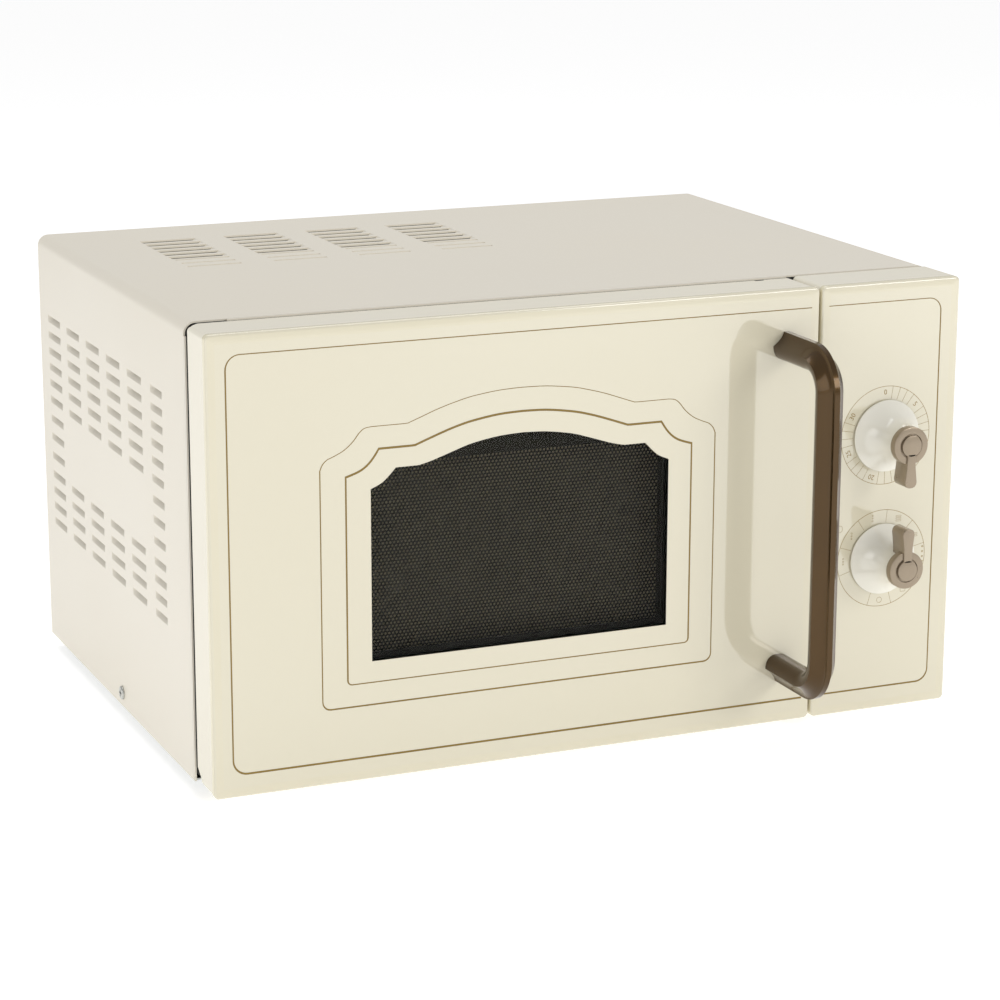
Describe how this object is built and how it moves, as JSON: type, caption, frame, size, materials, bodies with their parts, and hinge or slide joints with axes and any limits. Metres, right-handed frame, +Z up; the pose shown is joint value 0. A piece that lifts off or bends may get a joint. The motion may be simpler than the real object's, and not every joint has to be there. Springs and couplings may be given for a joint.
{
  "type": "microwave oven",
  "caption": "Countertop microwave oven with a glass-fronted hinged door, a bow handle, a turntable and two rotary knobs with lever caps.",
  "frame": {"origin": "middle of the overall footprint, at the level the feet stand on", "axes": "+X to the right seen from the front, -Y out of the door, +Z up"},
  "size_m": [0.455, 0.397, 0.263],
  "materials": {
    "painted_cream": "semi-gloss cream enamel",
    "cream_plastic": "moulded cream plastic",
    "cream_glass": "glass back-printed in cream, with fine gold lines",
    "zinc_steel": "galvanised sheet, satin",
    "cavity_enamel": "grey cavity enamel",
    "black_steel": "black painted sheet, satin",
    "clear_film": "clear polyester film",
    "grey_plastic": "moulded grey plastic",
    "white_plastic": "natural white nylon",
    "antique_bronze": "dark antique bronze plating, polished",
    "taupe_bronze": "pale antique bronze plating, satin",
    "bright_steel": "bright zinc",
    "spring_steel": "spring wire",
    "black_rubber": "black rubber",
    "mica": "pressed mica sheet",
    "lamination": "varnished steel laminations",
    "copper_winding": "enamelled copper winding",
    "capacitor_can": "drawn can",
    "circuit_board": "resin board",
    "red_plastic": "moulded plastic",
    "aluminium_fins": "bare sheet",
    "clear_glass": "clear pressed glass",
    "ceramic_white": "unglazed ceramic"
  },
  "bodies": {
    "oven": {"outer_cover": "painted_cream", "back_panel": "zinc_steel", "base_plate": "zinc_steel", "feet": "black_rubber", "cover_screws": "bright_steel", "front_frame": "black_steel", "cavity_liner": "cavity_enamel", "panel_housing": "cream_plastic", "panel_glass": "cream_glass", "upper_hinge": "bright_steel", "lower_hinge": "bright_steel", "hinge_screws": "bright_steel", "timer_unit": "white_plastic", "timer_bell": "bright_steel", "power_selector": "white_plastic", "latch_board": "white_plastic", "interlock_switches": "grey_plastic", "waveguide": "zinc_steel", "mica_cover": "mica", "magnetron": "aluminium_fins", "transformer_core": "lamination", "transformer_coils": "copper_winding", "hv_capacitor": "capacitor_can", "capacitor_clamp": "zinc_steel", "hv_diode": "grey_plastic", "fan_duct": "grey_plastic", "fan_motor": "lamination", "filter_board": "circuit_board", "thermal_cutout": "ceramic_white", "turntable_motor": "zinc_steel", "cavity_lamp": "clear_glass", "lamp_socket": "ceramic_white", "cord_gland": "black_rubber"},
    "door": {"door_glass": "cream_glass", "door_frame": "cream_plastic", "door_choke": "black_steel", "door_screen": "black_steel", "door_film": "clear_film", "choke_cover": "grey_plastic", "door_handle": "antique_bronze", "handle_screws": "bright_steel"},
    "latch": {"latch_hooks": "white_plastic", "latch_spring": "spring_steel"},
    "timer_control": {"timer_knob": "cream_plastic", "timer_knob_cap": "taupe_bronze", "timer_shaft": "bright_steel"},
    "power_control": {"power_knob": "cream_plastic", "power_knob_cap": "taupe_bronze", "selector_shaft": "bright_steel"},
    "plungers": {"switch_plungers": "red_plastic"},
    "fan": {"fan_blade": "grey_plastic"},
    "coupler": {"turntable_coupler": "white_plastic"},
    "tray": {"glass_tray": "clear_glass"},
    "roller_ring": {"roller_ring": "white_plastic"},
    "wheel_1": {"roller_wheel_1": "white_plastic"},
    "wheel_2": {"roller_wheel_2": "white_plastic"},
    "wheel_3": {"roller_wheel_3": "white_plastic"}
  },
  "joints": [
    {"name": "door_hinge", "type": "hinge", "parent": "oven", "child": "door", "pos_m": [-0.218, -0.1165, 0.1355], "axis": [0, 0, -1], "range_deg": [0, 95]},
    {"name": "latch_lift", "type": "slide", "parent": "door", "child": "latch", "axis": [0, 0, 1], "range_m": [0, 0.0035], "stiffness_N_per_m": 400, "springref_m": -0.004, "deforming": ["latch_spring"]},
    {"name": "timer_turn", "type": "hinge", "parent": "oven", "child": "timer_control", "pos_m": [0.18025, -0.1385, 0.173], "axis": [0, 1, 0], "range_deg": [-182, 120]},
    {"name": "power_turn", "type": "hinge", "parent": "oven", "child": "power_control", "pos_m": [0.18025, -0.1385, 0.0999], "axis": [0, 1, 0], "range_deg": [-89, 181]},
    {"name": "switch_press", "type": "slide", "parent": "oven", "child": "plungers", "axis": [0, 1, 0], "range_m": [0, 0.001], "stiffness_N_per_m": 500, "springref_m": -0.001},
    {"name": "fan_spin", "type": "hinge", "parent": "oven", "child": "fan", "pos_m": [0.16525, 0.1495, 0.1885], "axis": [0, 1, 0], "continuous": true},
    {"name": "turntable_spin", "type": "hinge", "parent": "oven", "child": "coupler", "pos_m": [-0.046, 0.0405, 0.0305], "axis": [0, 0, 1], "continuous": true},
    {"name": "tray_lift", "type": "slide", "parent": "coupler", "child": "tray", "axis": [0, 0, 1], "range_m": [0, 0.04]},
    {"name": "roller_ring_spin", "type": "hinge", "parent": "oven", "child": "roller_ring", "pos_m": [-0.046, 0.0405, 0.0375], "axis": [0, 0, 1], "continuous": true},
    {"name": "roller_wheel_1_spin", "type": "hinge", "parent": "roller_ring", "child": "wheel_1", "pos_m": [-0.046, 0.1355, 0.0375], "axis": [0, 1, 0], "continuous": true},
    {"name": "roller_wheel_2_spin", "type": "hinge", "parent": "roller_ring", "child": "wheel_2", "pos_m": [-0.12827, -0.007, 0.0375], "axis": [-0.866, -0.5, 0], "continuous": true},
    {"name": "roller_wheel_3_spin", "type": "hinge", "parent": "roller_ring", "child": "wheel_3", "pos_m": [0.03627, -0.007, 0.0375], "axis": [0.866, -0.5, 0], "continuous": true}
  ],
  "couplings": [
    {"joint": "roller_ring_spin", "follows": "turntable_spin", "ratio": 0.5},
    {"joint": "roller_wheel_1_spin", "follows": "turntable_spin", "ratio": -6.7857},
    {"joint": "roller_wheel_2_spin", "follows": "turntable_spin", "ratio": -6.7857},
    {"joint": "roller_wheel_3_spin", "follows": "turntable_spin", "ratio": -6.7857}
  ]
}
